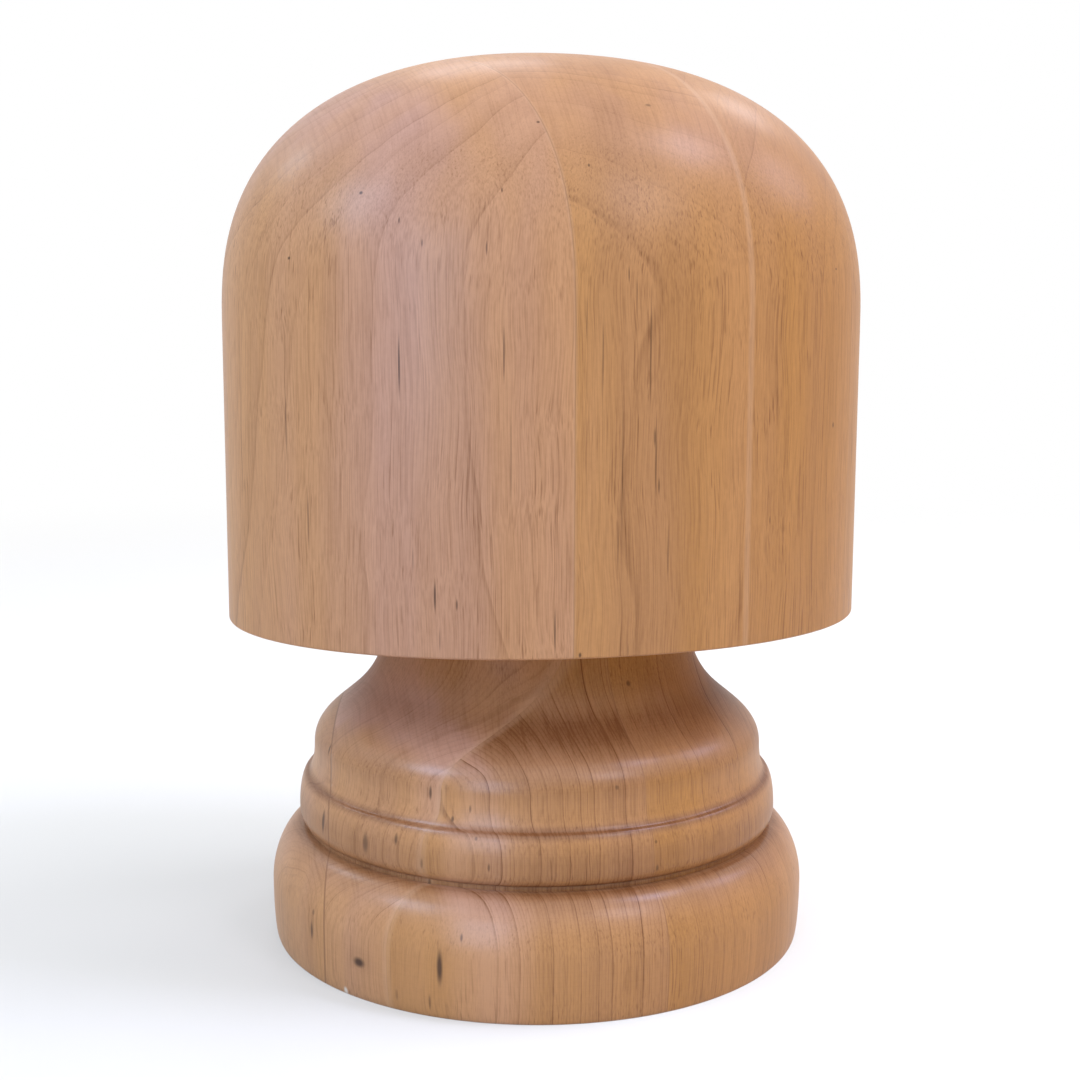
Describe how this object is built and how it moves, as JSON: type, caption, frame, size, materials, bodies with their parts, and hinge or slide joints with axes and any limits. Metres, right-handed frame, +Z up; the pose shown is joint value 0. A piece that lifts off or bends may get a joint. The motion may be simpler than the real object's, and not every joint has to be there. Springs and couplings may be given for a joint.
{
  "type": "hat block",
  "caption": "Oval domed wooden block for shaping a felt or straw hat crown, lifting off a loose peg in a round turned base with stacked roll mouldings.",
  "frame": {"origin": "centre of the base's foot, on the floor and on the axis of the peg", "axes": "+Z up along the peg; +X along the length of the oval crown; +Y across its width"},
  "size_m": [0.203, 0.1736, 0.2775],
  "materials": {
    "crown_wood": "satin varnish over pale brown hardwood with upright grain",
    "base_wood": "satin varnish over pale brown hardwood, turned, with growth rings",
    "peg_wood": "bare smooth hardwood"
  },
  "bodies": {
    "base": {"base_board_1": "base_wood", "base_board_2": "base_wood", "base_board_3": "base_wood", "base_board_4": "base_wood", "base_board_5": "base_wood"},
    "peg": {"peg": "peg_wood"},
    "crown": {"crown_board_1": "crown_wood", "crown_board_2": "crown_wood", "crown_board_3": "crown_wood", "crown_board_4": "crown_wood"}
  },
  "joints": [
    {"name": "crown_turn", "type": "hinge", "parent": "base", "child": "peg", "pos_m": [0, 0, 0.104], "axis": [0, 0, 1], "continuous": true},
    {"name": "crown_lift", "type": "slide", "parent": "peg", "child": "crown", "axis": [0, 0, 1], "range_m": [0, 0.055]}
  ]
}
